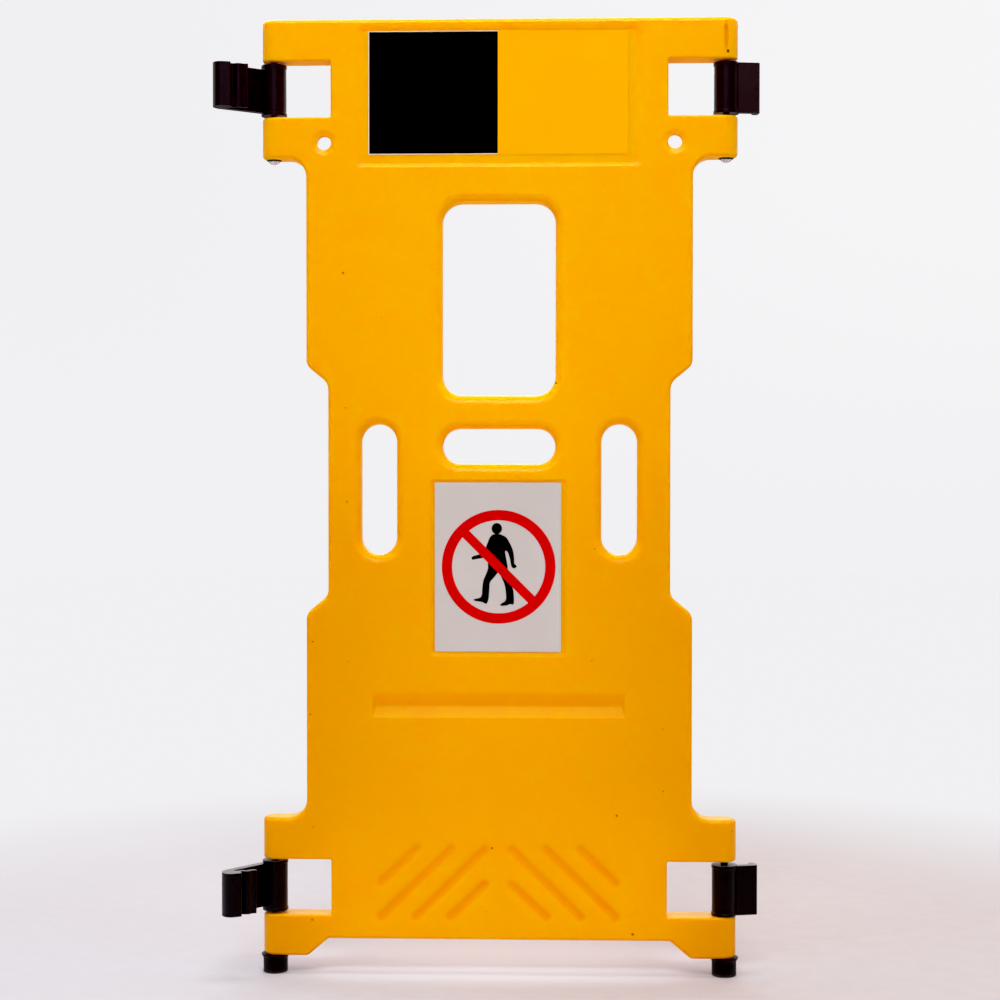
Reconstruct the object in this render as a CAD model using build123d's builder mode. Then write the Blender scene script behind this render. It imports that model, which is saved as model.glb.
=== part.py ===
import math
import os

from build123d import *

# ------------------------------------------------------------------ dimensions
# Millimetres. X runs across the panel, the front is the -Y side, Z is up and the floor is Z = 0.
total_height = 1006.0  # floor to the top edge
panel_width = 500.0  # over the hinge knuckles
panel_thickness = 28.0
wall = 3.2  # moulded wall
half_t = panel_thickness / 2

# Distances below the top edge
panel_bottom = 986.4  # underside of the lower knuckles
centre_bottom = 968.0  # raised bottom edge between the feet
upper_notch = (43.3, 101.8)  # hinge notch between the upper knuckles
lower_notch = (884.0, 942.3)
upper_wing_end = 145.3
lower_wing_start = 839.5
waist_upper = (362.2, 381.0)
waist_lower = (604.6, 623.5)

# Half widths
half_end = panel_width / 2
half_body = 203.0
half_waist = 180.0
half_notch = 177.0  # inner face of the hinge notches
half_bottom_in = 180.2  # slanted step of the bottom edge
half_bottom_out = 202.1

wing_fillet = 19.0
waist_fillet = 14.0
notch_corner = 1.5
edge_round = 4.5  # rolled outer edges
notch_edge_round = 2.5
opening_round = 10.5  # broad rolled rims of the central openings
tie_round, tie_back_round = 8.0, 2.5

# Openings: half width or size, and distances below the top edge
window_w, window_top, window_bottom, window_corner = 118.6, 192.0, 394.0, 21.0
hand_w, hand_top, hand_bottom = 118.2, 429.2, 465.9
side_slot_x, side_slot_w, side_slot_top, side_slot_bottom = 126.5, 37.2, 424.3, 561.7
tie_x, tie_depth, tie_r = 184.0, 129.0, 7.35
tie_dish_r = 13.2  # the tie holes open out to this radius at both faces
tie_web = (2.0, 10.0)  # straight part of the tie holes, behind the front face

# Label recess and film
# half width, upper end, lower end, corner radius and depth of the recess at its lip, on its slopes and at its floor
label_recess_depth = 2.0
label_recess = [
    (153.0, 5.2, 155.0, 7.0, 0.0),
    (149.0, 8.1, 153.4, 5.0, 0.5),
    (143.0, 12.4, 150.6, 2.0, label_recess_depth),
]
label_left, label_right, label_top, label_bottom, label_t = -137.2, 135.0, 12.6, 141.7, 0.3

# Sign recess and plate
sign_recess_left, sign_recess_right = -72.2, 71.8
sign_recess_top, sign_recess_bottom = 481.7, 668.6
sign_recess_depth, sign_slope = 1.6, 2.2
sign_low_slope = 5.0  # the slope along the lower side is wider
sign_left, sign_right, sign_top, sign_bottom, sign_t = -67.2, 65.4, 485.4, 663.4, 1.0

# Cross groove and slanted grooves
# half length, upper side, lower side and depth of the cross groove from its lip to its bottom line
groove = [
    (134.2, 703.0, 733.0, 0.0),
    (133.4, 706.4, 732.3, 0.25),
    (132.6, 709.8, 730.77, 0.8),
    (129.5, 720.3, 721.3, 4.2),
]
slant_half, slant_depth = 9.0, 1.5  # half width and depth of the soft slanted grooves
slants = [
    ((84.0, 868.8), (125.0, 908.5)),
    ((48.0, 869.3), (125.5, 944.5)),
    ((12.4, 869.9), (89.0, 944.9)),
    ((11.8, 906.9), (52.7, 944.5)),
]

# Hinges
axis_x = 238.0
pin_r = 4.0
pin_run = 0.05  # radial running clearance in the clip sleeves
blind_top = 18.0  # upper end of the upper pins
lower_blind_top = 858.0
sleeve_r, sleeve_h = 13.0, 53.5
collar_r, collar_h = 13.6, 3.6
arm_h, arm_drop = 45.4, 4.0  # hook height, and how far it starts below the sleeve's top
upper_left_sleeve_top = 45.8
upper_right_sleeve_top = 45.6
lower_left_sleeve_top = 886.4
lower_right_sleeve_top = 888.5
upper_left_angle = 37.0  # how far the hooks are swung to the front
lower_left_angle = 50.5
upper_right_angle = 8.0  # how far the tongues are swung to the back
lower_right_angle = 12.0

washer_r, washer_t = 7.8, 1.0
dome_r, dome_h = 5.8, 3.6

# Feet
foot_top_r, foot_r, foot_bottom_r = 14.8, 12.9, 11.4
foot_bore_r, foot_bore_depth = 8.0, 9.0
foot_head_r, foot_head_t = 7.2, 3.5


def up(depth):
    """Height above the floor of a point given by its distance below the top edge."""
    return total_height - depth


os.makedirs("parts", exist_ok=True)

# ------------------------------------------------------------------ panel shell
right_side = [
    (0, 0),
    (half_end, 0),
    (half_end, upper_notch[0]),
    (half_notch, upper_notch[0]),
    (half_notch, upper_notch[1]),
    (half_end, upper_notch[1]),
    (half_end, upper_wing_end),
    (half_body, upper_wing_end),
    (half_body, waist_upper[0]),
    (half_waist, waist_upper[1]),
    (half_waist, waist_lower[0]),
    (half_body, waist_lower[1]),
    (half_body, lower_wing_start),
    (half_end, lower_wing_start),
    (half_end, lower_notch[0]),
    (half_notch, lower_notch[0]),
    (half_notch, lower_notch[1]),
    (half_end, lower_notch[1]),
    (half_end, panel_bottom),
    (half_bottom_out, panel_bottom),
    (half_bottom_in, centre_bottom),
    (0, centre_bottom),
]
outline = [(x, up(d)) for x, d in right_side]
outline += [(-x, up(d)) for x, d in reversed(right_side[1:-1])]


def near(vertex, x, depth):
    return abs(abs(vertex.X) - x) < 0.5 and abs(vertex.Y - up(depth)) < 0.5


def corners(sketch, places):
    return [
        v for v in sketch.vertices() if any(near(v, x, d) for x, d in places)
    ]


# The hollow inside the panel. It keeps a wall everywhere and leaves the knuckles solid round the pins.
inner_t = half_t - wall
bevel = (wing_fillet + wall) * (2 - math.sqrt(2))  # keeps the wall round the wing fillets
with BuildPart() as hollow:
    with BuildSketch(Plane.XZ) as hollow_face:
        with BuildLine():
            inner = [
                (0, wall),
                (219, wall),
                (219, upper_notch[0] - wall),
                (half_notch - wall, upper_notch[0] - wall),
                (half_notch - wall, upper_notch[1] + wall),
                (219, upper_notch[1] + wall),
                (219, upper_wing_end - wall),
                (half_body - wall + bevel, upper_wing_end - wall),
                (half_body - wall, upper_wing_end - wall + bevel),
                (half_body - wall, waist_upper[0] - 5),
                (half_waist - wall, waist_upper[1] - 3),
                (half_waist - wall, waist_lower[0] + 3),
                (half_body - wall, waist_lower[1] + 5),
                (half_body - wall, lower_wing_start + wall - bevel),
                (half_body - wall + bevel, lower_wing_start + wall),
                (219, lower_wing_start + wall),
                (219, lower_notch[0] - wall),
                (half_notch - wall, lower_notch[0] - wall),
                (half_notch - wall, centre_bottom - wall),
                (0, centre_bottom - wall),
            ]
            ring = [(x, up(d)) for x, d in inner]
            ring += [(-x, up(d)) for x, d in reversed(inner[1:-1])]
            Polyline(*ring, close=True)
        make_face()
    extrude(amount=inner_t, both=True)
    # the two lower knuckles have a small hollow of their own beside the pin
    with BuildSketch(Plane.XZ):
        with Locations(
            (210, up((lower_notch[1] + panel_bottom) / 2)),
            (-210, up((lower_notch[1] + panel_bottom) / 2)),
        ):
            Rectangle(18, panel_bottom - lower_notch[1] - 2 * wall - 8)
    extrude(amount=inner_t, both=True)
    # walls round the openings, as wide as their rolled rims
    rim = opening_round + wall - 1.2
    with BuildSketch(Plane.XZ):
        with Locations((0, up((window_top + window_bottom) / 2))):
            RectangleRounded(
                window_w + 2 * rim, window_bottom - window_top + 2 * rim, window_corner + rim
            )
        with Locations((0, up((hand_top + hand_bottom) / 2))):
            SlotOverall(hand_w + 2 * rim, hand_bottom - hand_top + 2 * rim)
        with Locations(
            (side_slot_x, up((side_slot_top + side_slot_bottom) / 2)),
            (-side_slot_x, up((side_slot_top + side_slot_bottom) / 2)),
        ):
            SlotOverall(
                side_slot_bottom - side_slot_top + 2 * rim, side_slot_w + 2 * rim, rotation=90
            )
        with Locations((tie_x, up(tie_depth)), (-tie_x, up(tie_depth))):
            Circle(tie_dish_r + wall - 0.2)
    extrude(amount=half_t, both=True, mode=Mode.SUBTRACT)
    # the front wall stays thick behind the recesses and grooves
    with BuildSketch(Plane.XZ.offset(inner_t)):
        with Locations((0, up((groove[0][1] + groove[0][2]) / 2))):
            Rectangle(2 * groove[0][0] + 8, groove[0][2] - groove[0][1] + 8)
    extrude(amount=-5.4, mode=Mode.SUBTRACT)
    with BuildSketch(Plane.XZ.offset(inner_t)):
        with Locations((0, up(905.4))):
            Rectangle(268, 90)
        with Locations((0, up(label_recess[0][2] / 2))):
            Rectangle(2 * label_recess[0][0] + 4, label_recess[0][2] + 4)
        with Locations(
            (
                (sign_recess_left + sign_recess_right) / 2,
                up((sign_recess_top + sign_recess_bottom) / 2),
            )
        ):
            Rectangle(
                sign_recess_right - sign_recess_left + 4,
                sign_recess_bottom - sign_recess_top + 4,
            )
    extrude(amount=-2.4, mode=Mode.SUBTRACT)

with BuildPart() as panel_shell:
    # flat blank of the panel, seen from the front
    with BuildSketch(Plane.XZ) as blank:
        with BuildLine():
            Polyline(*outline, close=True)
        make_face()
        fillet(
            corners(blank, [(half_body, upper_wing_end), (half_body, lower_wing_start)]),
            wing_fillet,
        )
        fillet(
            corners(
                blank,
                [
                    (half_body, waist_upper[0]),
                    (half_waist, waist_upper[1]),
                    (half_waist, waist_lower[0]),
                    (half_body, waist_lower[1]),
                ],
            ),
            waist_fillet,
        )
        fillet(
            corners(
                blank,
                [(half_notch, d) for d in (*upper_notch, *lower_notch)],
            ),
            notch_corner,
        )
        fillet(corners(blank, [(half_bottom_out, panel_bottom)]), 5.2)
        fillet(corners(blank, [(half_bottom_in, centre_bottom)]), 3.0)
    extrude(amount=half_t, both=True)
    # the knuckles end in a half round, seen from above
    with BuildSketch(Plane.XY):
        SlotOverall(panel_width, panel_thickness)
    extrude(amount=total_height, mode=Mode.INTERSECT)

    def on_notch(e):
        c = e.center()
        d = total_height - c.Z
        return abs(c.X) > half_notch - 1 and (
            upper_notch[0] - 0.1 < d < upper_notch[1] + 0.1
            or lower_notch[0] - 0.1 < d < lower_notch[1] + 0.1
        )

    def is_seam(e):
        box = e.bounding_box()
        across = box.size.Y > panel_thickness - 0.01 and box.size.X < 0.01
        upright = (
            box.size.Z > 1
            and box.size.X < 0.01
            and box.size.Y < 0.01
            and abs(abs(e.center().X) - (half_end - half_t)) < 0.01
        )
        return across or upright

    rims = [e for e in panel_shell.edges() if not is_seam(e)]
    fillet([e for e in rims if not on_notch(e)], edge_round)
    rims = [
        e
        for e in panel_shell.edges()
        if on_notch(e) and not is_seam(e)
    ]
    fillet(rims, notch_edge_round)

    # central openings
    with BuildSketch(Plane.XZ):
        with Locations((0, up((window_top + window_bottom) / 2))):
            RectangleRounded(window_w, window_bottom - window_top, window_corner)
        with Locations((0, up((hand_top + hand_bottom) / 2))):
            SlotOverall(hand_w, hand_bottom - hand_top)
        with Locations(
            (side_slot_x, up((side_slot_top + side_slot_bottom) / 2)),
            (-side_slot_x, up((side_slot_top + side_slot_bottom) / 2)),
        ):
            SlotOverall(side_slot_bottom - side_slot_top, side_slot_w, rotation=90)
    extrude(amount=half_t, both=True, mode=Mode.SUBTRACT)

    def on_face(e):
        box = e.bounding_box()
        return box.size.Y < 0.01 and abs(abs(e.center().Y) - half_t) < 0.01

    def in_opening(e):
        c = e.center()
        d = total_height - c.Z
        return abs(c.X) < side_slot_x + side_slot_w / 2 + 0.5 and 185 < d < 570

    fillet([e for e in panel_shell.edges() if on_face(e) and in_opening(e)], opening_round)

    # tie holes: a short straight web, dished out to both faces
    for x in (tie_x, -tie_x):
        with BuildSketch(Plane.XY.offset(up(tie_depth))):
            with BuildLine():
                Polyline(
                    (x, -half_t),
                    (x + tie_dish_r, -half_t),
                    (x + tie_r, -half_t + tie_web[0]),
                    (x + tie_r, -half_t + tie_web[1]),
                    (x + tie_dish_r, half_t),
                    (x, half_t),
                    close=True,
                )
            make_face()
        revolve(axis=Axis((x, 0, up(tie_depth)), (0, 1, 0)), mode=Mode.SUBTRACT)

    def in_tie(e):
        c = e.center()
        return (
            abs(abs(c.X) - tie_x) < tie_dish_r + 0.1
            and abs(c.Z - up(tie_depth)) < tie_dish_r + 0.1
        )

    tie_rims = [e for e in panel_shell.edges() if on_face(e) and in_tie(e)]
    fillet([e for e in tie_rims if e.center().Y < 0], tie_round)
    tie_rims = [e for e in panel_shell.edges() if on_face(e) and in_tie(e)]
    fillet([e for e in tie_rims if e.center().Y > 0], tie_back_round)

    # label recess with gently sloping sides
    for half_w, high, low, corner, deep in label_recess:
        with BuildSketch(Plane.XZ.offset(half_t - deep)):
            with Locations((0, up((high + low) / 2))):
                RectangleRounded(2 * half_w, low - high, corner)
    loft(ruled=True, mode=Mode.SUBTRACT)

    # sign recess with sloping sides
    sign_mid = (
        (sign_recess_left + sign_recess_right) / 2,
        up((sign_recess_top + sign_recess_bottom) / 2),
    )
    with BuildSketch(Plane.XZ.offset(half_t)):
        with Locations(sign_mid):
            RectangleRounded(
                sign_recess_right - sign_recess_left,
                sign_recess_bottom - sign_recess_top,
                4.0,
            )
    with BuildSketch(Plane.XZ.offset(half_t - sign_recess_depth)):
        with Locations((sign_mid[0], sign_mid[1] + (sign_low_slope - sign_slope) / 2)):
            RectangleRounded(
                sign_recess_right - sign_recess_left - 2 * sign_slope,
                sign_recess_bottom - sign_recess_top - sign_slope - sign_low_slope,
                1.8,
            )
    loft(mode=Mode.SUBTRACT)

    # cross groove: a soft upper lip, a straight lower slope and steep ends
    for half_l, high, low, deep in groove:
        with BuildSketch(Plane.XZ.offset(half_t - deep)):
            with Locations((0, up((high + low) / 2))):
                Rectangle(2 * half_l, low - high)
    loft(ruled=True, mode=Mode.SUBTRACT)

    # slanted grooves, soft valleys mirrored about the middle
    for side in (1, -1):
        for (x0, d0), (x1, d1) in slants:
            run = math.hypot(x1 - x0, d1 - d0) - 6.0
            turn = -side * math.degrees(math.atan2(d1 - d0, x1 - x0))
            middle = (side * (x0 + x1) / 2, up((d0 + d1) / 2))
            for part in (1.0, 0.8, 0.6, 0.4, 0.2, 0.08):
                deep = slant_depth * (1 + math.cos(math.pi * part)) / 2
                with BuildSketch(Plane.XZ.offset(half_t - deep)):
                    with Locations(middle):
                        SlotOverall(
                            run + 2 * slant_half * part, 2 * slant_half * part, rotation=turn
                        )
            loft(ruled=True, mode=Mode.SUBTRACT)

    # the hollow inside
    add(hollow.part, mode=Mode.SUBTRACT)

    # pin bores, blind at their upper ends
    with BuildSketch(Plane.XY.offset(up(upper_wing_end) - 10)):
        with Locations((axis_x, 0), (-axis_x, 0)):
            Circle(pin_r)
    extrude(amount=upper_wing_end - blind_top + 10, mode=Mode.SUBTRACT)
    with BuildSketch(Plane.XY.offset(up(panel_bottom) - 1)):
        with Locations((axis_x, 0), (-axis_x, 0)):
            Circle(pin_r)
    extrude(amount=panel_bottom - lower_blind_top + 1, mode=Mode.SUBTRACT)
panel_shell.part.label = "panel_shell"
export_step(panel_shell.part, "parts/panel_shell.step")

# ------------------------------------------------------------------ label and sign
with BuildPart() as name_label:
    with BuildSketch(Plane.XZ.offset(half_t - label_recess_depth)):
        with Locations(((label_left + label_right) / 2, up((label_top + label_bottom) / 2))):
            RectangleRounded(label_right - label_left, label_bottom - label_top, 1.5)
    extrude(amount=label_t)
name_label.part.label = "name_label"
export_step(name_label.part, "parts/name_label.step")

with BuildPart() as sign_plate:
    with BuildSketch(Plane.XZ.offset(half_t - sign_recess_depth)):
        with Locations(((sign_left + sign_right) / 2, up((sign_top + sign_bottom) / 2))):
            RectangleRounded(sign_right - sign_left, sign_bottom - sign_top, 1.0)
    extrude(amount=sign_t)
    front = sign_plate.faces().sort_by(Axis.Y)[0]
    chamfer(front.edges(), 0.3)
sign_plate.part.label = "sign_plate"
export_step(sign_plate.part, "parts/sign_plate.step")


# ------------------------------------------------------------------ hinge pins
def upper_pin_profile(x):
    """Half section of an upper pin: shank with a domed head below the washer."""
    head_top = up(upper_wing_end + washer_t)
    with BuildLine() as line:
        Polyline(
            (x, head_top - dome_h),
            (x, up(blind_top)),
            (x + pin_r - 0.6, up(blind_top)),
            (x + pin_r, up(blind_top) - 0.6),
            (x + pin_r, head_top),
            (x + dome_r, head_top),
            (x + dome_r, head_top - 0.8),
        )
        # the dome is part of a ball centred on the pin's axis
        rise = dome_h - 0.8
        ball_r = (dome_r**2 + rise**2) / (2 * rise)
        half = math.asin(dome_r / ball_r) / 2
        ThreePointArc(
            (x + dome_r, head_top - 0.8),
            (
                x + ball_r * math.sin(half),
                head_top - dome_h + ball_r * (1 - math.cos(half)),
            ),
            (x, head_top - dome_h),
        )
    return line


def lower_pin_profile(x):
    """Half section of a lower pin: shank with a low chamfered head in the foot."""
    head_top = up(total_height) + foot_bore_depth
    with BuildLine() as line:
        Polyline(
            (x, head_top - foot_head_t),
            (x, up(lower_blind_top)),
            (x + pin_r - 0.6, up(lower_blind_top)),
            (x + pin_r, up(lower_blind_top) - 0.6),
            (x + pin_r, head_top),
            (x + foot_head_r, head_top),
            (x + foot_head_r, head_top - foot_head_t + 0.8),
            (x + foot_head_r - 0.8, head_top - foot_head_t),
            close=True,
        )
    return line


with BuildPart() as upper_left_pin:
    with BuildSketch(Plane.XZ):
        add(upper_pin_profile(-axis_x).line)
        make_face()
    revolve(axis=Axis((-axis_x, 0, 0), (0, 0, 1)))
upper_left_pin.part.label = "upper_left_pin"
export_step(upper_left_pin.part, "parts/upper_left_pin.step")

with BuildPart() as upper_right_pin:
    with BuildSketch(Plane.XZ):
        add(upper_pin_profile(axis_x).line)
        make_face()
    revolve(axis=Axis((axis_x, 0, 0), (0, 0, 1)))
upper_right_pin.part.label = "upper_right_pin"
export_step(upper_right_pin.part, "parts/upper_right_pin.step")

with BuildPart() as lower_left_pin:
    with BuildSketch(Plane.XZ):
        add(lower_pin_profile(-axis_x).line)
        make_face()
    revolve(axis=Axis((-axis_x, 0, 0), (0, 0, 1)))
lower_left_pin.part.label = "lower_left_pin"
export_step(lower_left_pin.part, "parts/lower_left_pin.step")

with BuildPart() as lower_right_pin:
    with BuildSketch(Plane.XZ):
        add(lower_pin_profile(axis_x).line)
        make_face()
    revolve(axis=Axis((axis_x, 0, 0), (0, 0, 1)))
lower_right_pin.part.label = "lower_right_pin"
export_step(lower_right_pin.part, "parts/lower_right_pin.step")

# ------------------------------------------------------------------ washers
with BuildPart() as upper_left_washer:
    with BuildSketch(Plane.XY.offset(up(upper_wing_end + washer_t))):
        with Locations((-axis_x, 0)):
            Circle(washer_r)
            Circle(pin_r, mode=Mode.SUBTRACT)
    extrude(amount=washer_t)
    chamfer(upper_left_washer.faces().sort_by(Axis.Z)[0].outer_wire().edges(), 0.3)
upper_left_washer.part.label = "upper_left_washer"
export_step(upper_left_washer.part, "parts/upper_left_washer.step")

with BuildPart() as upper_right_washer:
    with BuildSketch(Plane.XY.offset(up(upper_wing_end + washer_t))):
        with Locations((axis_x, 0)):
            Circle(washer_r)
            Circle(pin_r, mode=Mode.SUBTRACT)
    extrude(amount=washer_t)
    chamfer(upper_right_washer.faces().sort_by(Axis.Z)[0].outer_wire().edges(), 0.3)
upper_right_washer.part.label = "upper_right_washer"
export_step(upper_right_washer.part, "parts/upper_right_washer.step")


# ------------------------------------------------------------------ rubber feet
def foot_profile(x):
    """Half section of a foot: flared top, straight body, rounded sole, bore and counterbore."""
    top = up(panel_bottom)
    with BuildLine() as line:
        Polyline(
            (x + pin_r, top),
            (x + foot_top_r, top),
            (x + foot_top_r, top - 1.2),
        )
        ThreePointArc(
            (x + foot_top_r, top - 1.2),
            (x + foot_r + 0.45, top - 3.6),
            (x + foot_r, top - 7.0),
        )
        Line((x + foot_r, top - 7.0), (x + foot_r, 1.8))
        ThreePointArc(
            (x + foot_r, 1.8),
            (x + foot_r - 0.44, 0.5),
            (x + foot_bottom_r, 0),
        )
        Polyline(
            (x + foot_bottom_r, 0),
            (x + foot_bore_r, 0),
            (x + foot_bore_r, foot_bore_depth),
            (x + pin_r, foot_bore_depth),
            (x + pin_r, top),
        )
    return line


with BuildPart() as left_foot:
    with BuildSketch(Plane.XZ):
        add(foot_profile(-axis_x).line)
        make_face()
    revolve(axis=Axis((-axis_x, 0, 0), (0, 0, 1)))
left_foot.part.label = "left_foot"
export_step(left_foot.part, "parts/left_foot.step")

with BuildPart() as right_foot:
    with BuildSketch(Plane.XZ):
        add(foot_profile(axis_x).line)
        make_face()
    revolve(axis=Axis((axis_x, 0, 0), (0, 0, 1)))
right_foot.part.label = "right_foot"
export_step(right_foot.part, "parts/right_foot.step")


# ------------------------------------------------------------------ swivel clips
leg_root, leg_tip = (54.2, 2.4), (38.4, 10.6)
leg_length = math.dist(leg_root, leg_tip)
leg_half = 1.9  # half the thickness of the spring leg
leg_swing, leg_pitch, leg_phase = 1.15, 11.6, 2.6  # its waves


def leg_point(s, side, ahead=0.0):
    """A point on one side of the wavy spring leg (0 is its middle line), a distance s from its root."""
    t = ((leg_tip[0] - leg_root[0]) / leg_length, (leg_tip[1] - leg_root[1]) / leg_length)
    n = (t[1], -t[0])
    angle = 2 * math.pi * s / leg_pitch + leg_phase
    swing = leg_swing * math.sin(angle)
    slope = leg_swing * 2 * math.pi / leg_pitch * math.cos(angle)
    size = math.hypot(1, slope)
    along = ((t[0] + n[0] * slope) / size, (t[1] + n[1] * slope) / size)
    off = ((n[0] - t[0] * slope) / size, (n[1] - t[1] * slope) / size)
    return tuple(
        leg_root[i] + t[i] * s + n[i] * swing + off[i] * side * leg_half + along[i] * ahead
        for i in (0, 1)
    )


def hook_outline():
    """Plan of a hook: straight back plate, rounded nose and a wavy spring leg that returns towards the sleeve."""
    steps = [1.6, 3.4, 5.4, 7.4, 9.4, 11.4, 13.4, 15.4, leg_length]
    front = [leg_point(s, 1) for s in steps]
    back = [leg_point(s, -1) for s in reversed(steps)]
    with BuildLine() as line:
        Line((0, -sleeve_r), (56.5, -sleeve_r))
        ThreePointArc((56.5, -sleeve_r), (66.6, -9.0), (70.6, 0.6))
        ThreePointArc((70.6, 0.6), (69.2, 5.6), (64.6, 8.9))
        Line((64.6, 8.9), (58.6, 11.4))
        ThreePointArc((58.6, 11.4), (57.2, 11.3), (56.6, 10.2))
        Line((56.6, 10.2), front[0])
        Spline(*front)
        ThreePointArc(front[-1], leg_point(leg_length, 0, leg_half), back[0])
        Spline(*back)
        Line(back[-1], (55.0, -2.6))
        ThreePointArc((55.0, -2.6), (55.2, -3.9), (54.0, -4.6))
        Line((54.0, -4.6), (0, -4.6))
        Line((0, -4.6), (0, -sleeve_r))
    return line


tongue_front, tongue_back, tongue_end = -8.0, -0.8, 34.5  # faces of the plate, and its length from the pin
catch_tip, catch_w = 6.1, 7.0  # the catch stands out from the plate's back


def tongue_outline():
    """Plan of a tongue: straight plate with a rounded catch along its outer end, at the back."""
    rib = tongue_end - catch_w
    with BuildLine() as line:
        Line((0, tongue_front), (tongue_end - 3.0, tongue_front))
        ThreePointArc(
            (tongue_end - 3.0, tongue_front),
            (tongue_end - 0.88, tongue_front + 0.88),
            (tongue_end, tongue_front + 3.0),
        )
        Line((tongue_end, tongue_front + 3.0), (tongue_end, catch_tip - catch_w / 2))
        ThreePointArc(
            (tongue_end, catch_tip - catch_w / 2),
            (tongue_end - catch_w / 2, catch_tip),
            (rib, catch_tip - catch_w / 2),
        )
        Line((rib, catch_tip - catch_w / 2), (rib, tongue_back + 1.5))
        ThreePointArc(
            (rib, tongue_back + 1.5),
            (rib - 0.44, tongue_back + 0.44),
            (rib - 1.5, tongue_back),
        )
        Line((rib - 1.5, tongue_back), (0, tongue_back))
        Line((0, tongue_back), (0, tongue_front))
    return line


def hook_plane(x, top, angle):
    """Plane at the foot of a hook's sleeve, its x axis out along the hook."""
    a = math.radians(angle)
    return Plane(
        origin=(x, 0, up(top + sleeve_h)),
        x_dir=(-math.cos(a), -math.sin(a), 0),
        z_dir=(0, 0, 1),
    )


def tongue_plane(x, top, angle):
    """Plane at the foot of a tongue's sleeve, its x axis out along the tongue."""
    a = math.radians(angle)
    return Plane(
        origin=(x, 0, up(top + sleeve_h)),
        x_dir=(math.cos(a), math.sin(a), 0),
        z_dir=(0, 0, 1),
    )


ul_plane = hook_plane(-axis_x, upper_left_sleeve_top, upper_left_angle)
with BuildPart() as upper_left_clip:
    with BuildSketch(ul_plane):
        Circle(collar_r)
    extrude(amount=collar_h)
    with BuildSketch(ul_plane.offset(sleeve_h - collar_h)):
        Circle(collar_r)
    extrude(amount=collar_h)
    chamfer(
        upper_left_clip.edges().filter_by(GeomType.CIRCLE), 0.5
    )
    with BuildSketch(ul_plane.offset(1)):
        Circle(sleeve_r)
    extrude(amount=sleeve_h - 2)
    with BuildSketch(ul_plane.offset(sleeve_h - arm_drop - arm_h)):
        add(hook_outline().line)
        make_face()
    extrude(amount=arm_h)
    with BuildSketch(ul_plane):
        Circle(pin_r + pin_run)
    extrude(amount=sleeve_h, mode=Mode.SUBTRACT)
upper_left_clip.part.label = "upper_left_clip"
export_step(upper_left_clip.part, "parts/upper_left_clip.step")

ll_plane = hook_plane(-axis_x, lower_left_sleeve_top, lower_left_angle)
with BuildPart() as lower_left_clip:
    with BuildSketch(ll_plane):
        Circle(collar_r)
    extrude(amount=collar_h)
    with BuildSketch(ll_plane.offset(sleeve_h - collar_h)):
        Circle(collar_r)
    extrude(amount=collar_h)
    chamfer(
        lower_left_clip.edges().filter_by(GeomType.CIRCLE), 0.5
    )
    with BuildSketch(ll_plane.offset(1)):
        Circle(sleeve_r)
    extrude(amount=sleeve_h - 2)
    with BuildSketch(ll_plane.offset(sleeve_h - arm_drop - arm_h)):
        add(hook_outline().line)
        make_face()
    extrude(amount=arm_h)
    with BuildSketch(ll_plane):
        Circle(pin_r + pin_run)
    extrude(amount=sleeve_h, mode=Mode.SUBTRACT)
lower_left_clip.part.label = "lower_left_clip"
export_step(lower_left_clip.part, "parts/lower_left_clip.step")

ur_plane = tongue_plane(axis_x, upper_right_sleeve_top, upper_right_angle)
with BuildPart() as upper_right_clip:
    with BuildSketch(ur_plane):
        Circle(collar_r)
    extrude(amount=collar_h)
    with BuildSketch(ur_plane.offset(sleeve_h - collar_h)):
        Circle(collar_r)
    extrude(amount=collar_h)
    chamfer(
        upper_right_clip.edges().filter_by(GeomType.CIRCLE), 0.5
    )
    with BuildSketch(ur_plane.offset(1)):
        Circle(sleeve_r)
    extrude(amount=sleeve_h - 2)
    with BuildSketch(ur_plane.offset(0.6)):
        add(tongue_outline().line)
        make_face()
    extrude(amount=sleeve_h - 1.2)
    with BuildSketch(ur_plane):
        Circle(pin_r + pin_run)
    extrude(amount=sleeve_h, mode=Mode.SUBTRACT)
upper_right_clip.part.label = "upper_right_clip"
export_step(upper_right_clip.part, "parts/upper_right_clip.step")

lr_plane = tongue_plane(axis_x, lower_right_sleeve_top, lower_right_angle)
with BuildPart() as lower_right_clip:
    with BuildSketch(lr_plane):
        Circle(collar_r)
    extrude(amount=collar_h)
    with BuildSketch(lr_plane.offset(sleeve_h - collar_h)):
        Circle(collar_r)
    extrude(amount=collar_h)
    chamfer(
        lower_right_clip.edges().filter_by(GeomType.CIRCLE), 0.5
    )
    with BuildSketch(lr_plane.offset(1)):
        Circle(sleeve_r)
    extrude(amount=sleeve_h - 2)
    with BuildSketch(lr_plane.offset(0.6)):
        add(tongue_outline().line)
        make_face()
    extrude(amount=sleeve_h - 1.2)
    with BuildSketch(lr_plane):
        Circle(pin_r + pin_run)
    extrude(amount=sleeve_h, mode=Mode.SUBTRACT)
lower_right_clip.part.label = "lower_right_clip"
export_step(lower_right_clip.part, "parts/lower_right_clip.step")
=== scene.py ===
import math

import bmesh
import bpy
from mathutils import Matrix, Vector


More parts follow.
